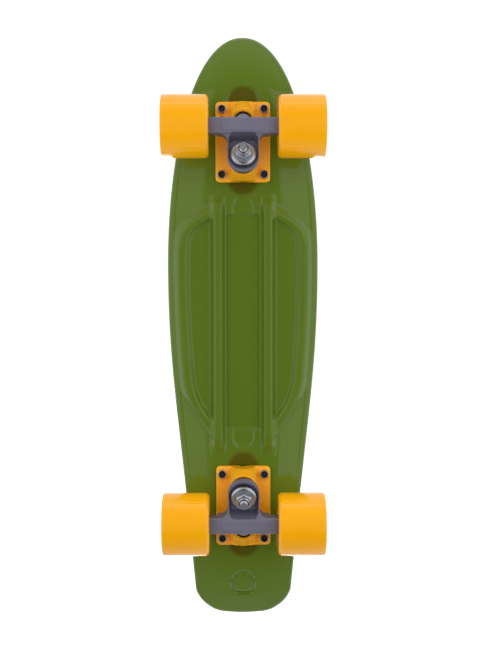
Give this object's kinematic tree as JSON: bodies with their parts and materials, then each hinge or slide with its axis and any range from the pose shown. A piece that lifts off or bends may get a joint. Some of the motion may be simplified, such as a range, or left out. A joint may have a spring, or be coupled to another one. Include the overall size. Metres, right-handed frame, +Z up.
{
  "type": "skateboard",
  "caption": "Small plastic cruiser skateboard: moulded deck with concave and kicktail, two cast steering trucks on rubber bushings and soft wide wheels on ball bearings.",
  "frame": {"origin": "on the ground under the middle of the deck, where the wheels stand", "axes": "+Z up through the deck's top, +Y towards the rounded nose, +X to the rider's right when facing the nose"},
  "size_m": [0.1552, 0.582, 0.1111],
  "materials": {
    "deck_plastic": "glossy moulded polypropylene, olive green",
    "wheel_urethane": "glossy solid urethane, yellow orange",
    "plate_paint": "smooth yellow-orange paint on a casting",
    "cast_metal": "satin grey cast alloy",
    "plated_steel": "bright zinc plated steel",
    "bearing_steel": "ground bearing steel",
    "bushing_urethane": "black urethane",
    "cup_nylon": "black nylon"
  },
  "bodies": {
    "board": {"deck": "deck_plastic", "front_baseplate": "plate_paint", "front_kingpin": "plated_steel", "front_kingpin_nut": "plated_steel", "front_board_washer": "plated_steel", "front_road_cup_washer": "plated_steel", "front_board_bushing": "bushing_urethane", "front_road_bushing": "bushing_urethane", "front_pivot_cup": "cup_nylon", "front_bolt_1": "plated_steel", "front_bolt_2": "plated_steel", "front_bolt_3": "plated_steel", "front_bolt_4": "plated_steel", "front_bolt_nut_1": "plated_steel", "front_bolt_nut_2": "plated_steel", "front_bolt_nut_3": "plated_steel", "front_bolt_nut_4": "plated_steel", "rear_baseplate": "plate_paint", "rear_kingpin": "plated_steel", "rear_kingpin_nut": "plated_steel", "rear_board_washer": "plated_steel", "rear_road_cup_washer": "plated_steel", "rear_board_bushing": "bushing_urethane", "rear_road_bushing": "bushing_urethane", "rear_pivot_cup": "cup_nylon", "rear_bolt_1": "plated_steel", "rear_bolt_2": "plated_steel", "rear_bolt_3": "plated_steel", "rear_bolt_4": "plated_steel", "rear_bolt_nut_1": "plated_steel", "rear_bolt_nut_2": "plated_steel", "rear_bolt_nut_3": "plated_steel", "rear_bolt_nut_4": "plated_steel"},
    "front_truck": {"front_hanger": "cast_metal", "front_axle": "plated_steel", "front_left_axle_washer": "plated_steel", "front_left_axle_nut": "plated_steel", "front_right_axle_washer": "plated_steel", "front_right_axle_nut": "plated_steel"},
    "rear_truck": {"rear_hanger": "cast_metal", "rear_axle": "plated_steel", "rear_left_axle_washer": "plated_steel", "rear_left_axle_nut": "plated_steel", "rear_right_axle_washer": "plated_steel", "rear_right_axle_nut": "plated_steel"},
    "front_left_roller": {"front_left_wheel": "wheel_urethane", "front_left_inner_bearing": "bearing_steel", "front_left_outer_bearing": "bearing_steel"},
    "front_right_roller": {"front_right_wheel": "wheel_urethane", "front_right_inner_bearing": "bearing_steel", "front_right_outer_bearing": "bearing_steel"},
    "rear_left_roller": {"rear_left_wheel": "wheel_urethane", "rear_left_inner_bearing": "bearing_steel", "rear_left_outer_bearing": "bearing_steel"},
    "rear_right_roller": {"rear_right_wheel": "wheel_urethane", "rear_right_inner_bearing": "bearing_steel", "rear_right_outer_bearing": "bearing_steel"}
  },
  "joints": [
    {"name": "front_steer", "type": "hinge", "parent": "board", "child": "front_truck", "pos_m": [0, 0.1645, 0.037], "axis": [0, 0.9397, 0.342], "range_deg": [-10, 10], "stiffness_Nm_per_rad": 12, "deforming": ["front_board_bushing", "front_road_bushing"]},
    {"name": "rear_steer", "type": "hinge", "parent": "board", "child": "rear_truck", "pos_m": [0, -0.1535, 0.037], "axis": [0, -0.9397, 0.342], "range_deg": [-10, 10], "stiffness_Nm_per_rad": 12, "deforming": ["rear_board_bushing", "rear_road_bushing"]},
    {"name": "front_left_wheel_spin", "type": "hinge", "parent": "front_truck", "child": "front_left_roller", "pos_m": [-0.05515, 0.1949, 0.03], "axis": [1, 0, 0], "continuous": true},
    {"name": "front_right_wheel_spin", "type": "hinge", "parent": "front_truck", "child": "front_right_roller", "pos_m": [0.05515, 0.1949, 0.03], "axis": [1, 0, 0], "continuous": true},
    {"name": "rear_left_wheel_spin", "type": "hinge", "parent": "rear_truck", "child": "rear_left_roller", "pos_m": [-0.05515, -0.1839, 0.03], "axis": [1, 0, 0], "continuous": true},
    {"name": "rear_right_wheel_spin", "type": "hinge", "parent": "rear_truck", "child": "rear_right_roller", "pos_m": [0.05515, -0.1839, 0.03], "axis": [1, 0, 0], "continuous": true}
  ]
}
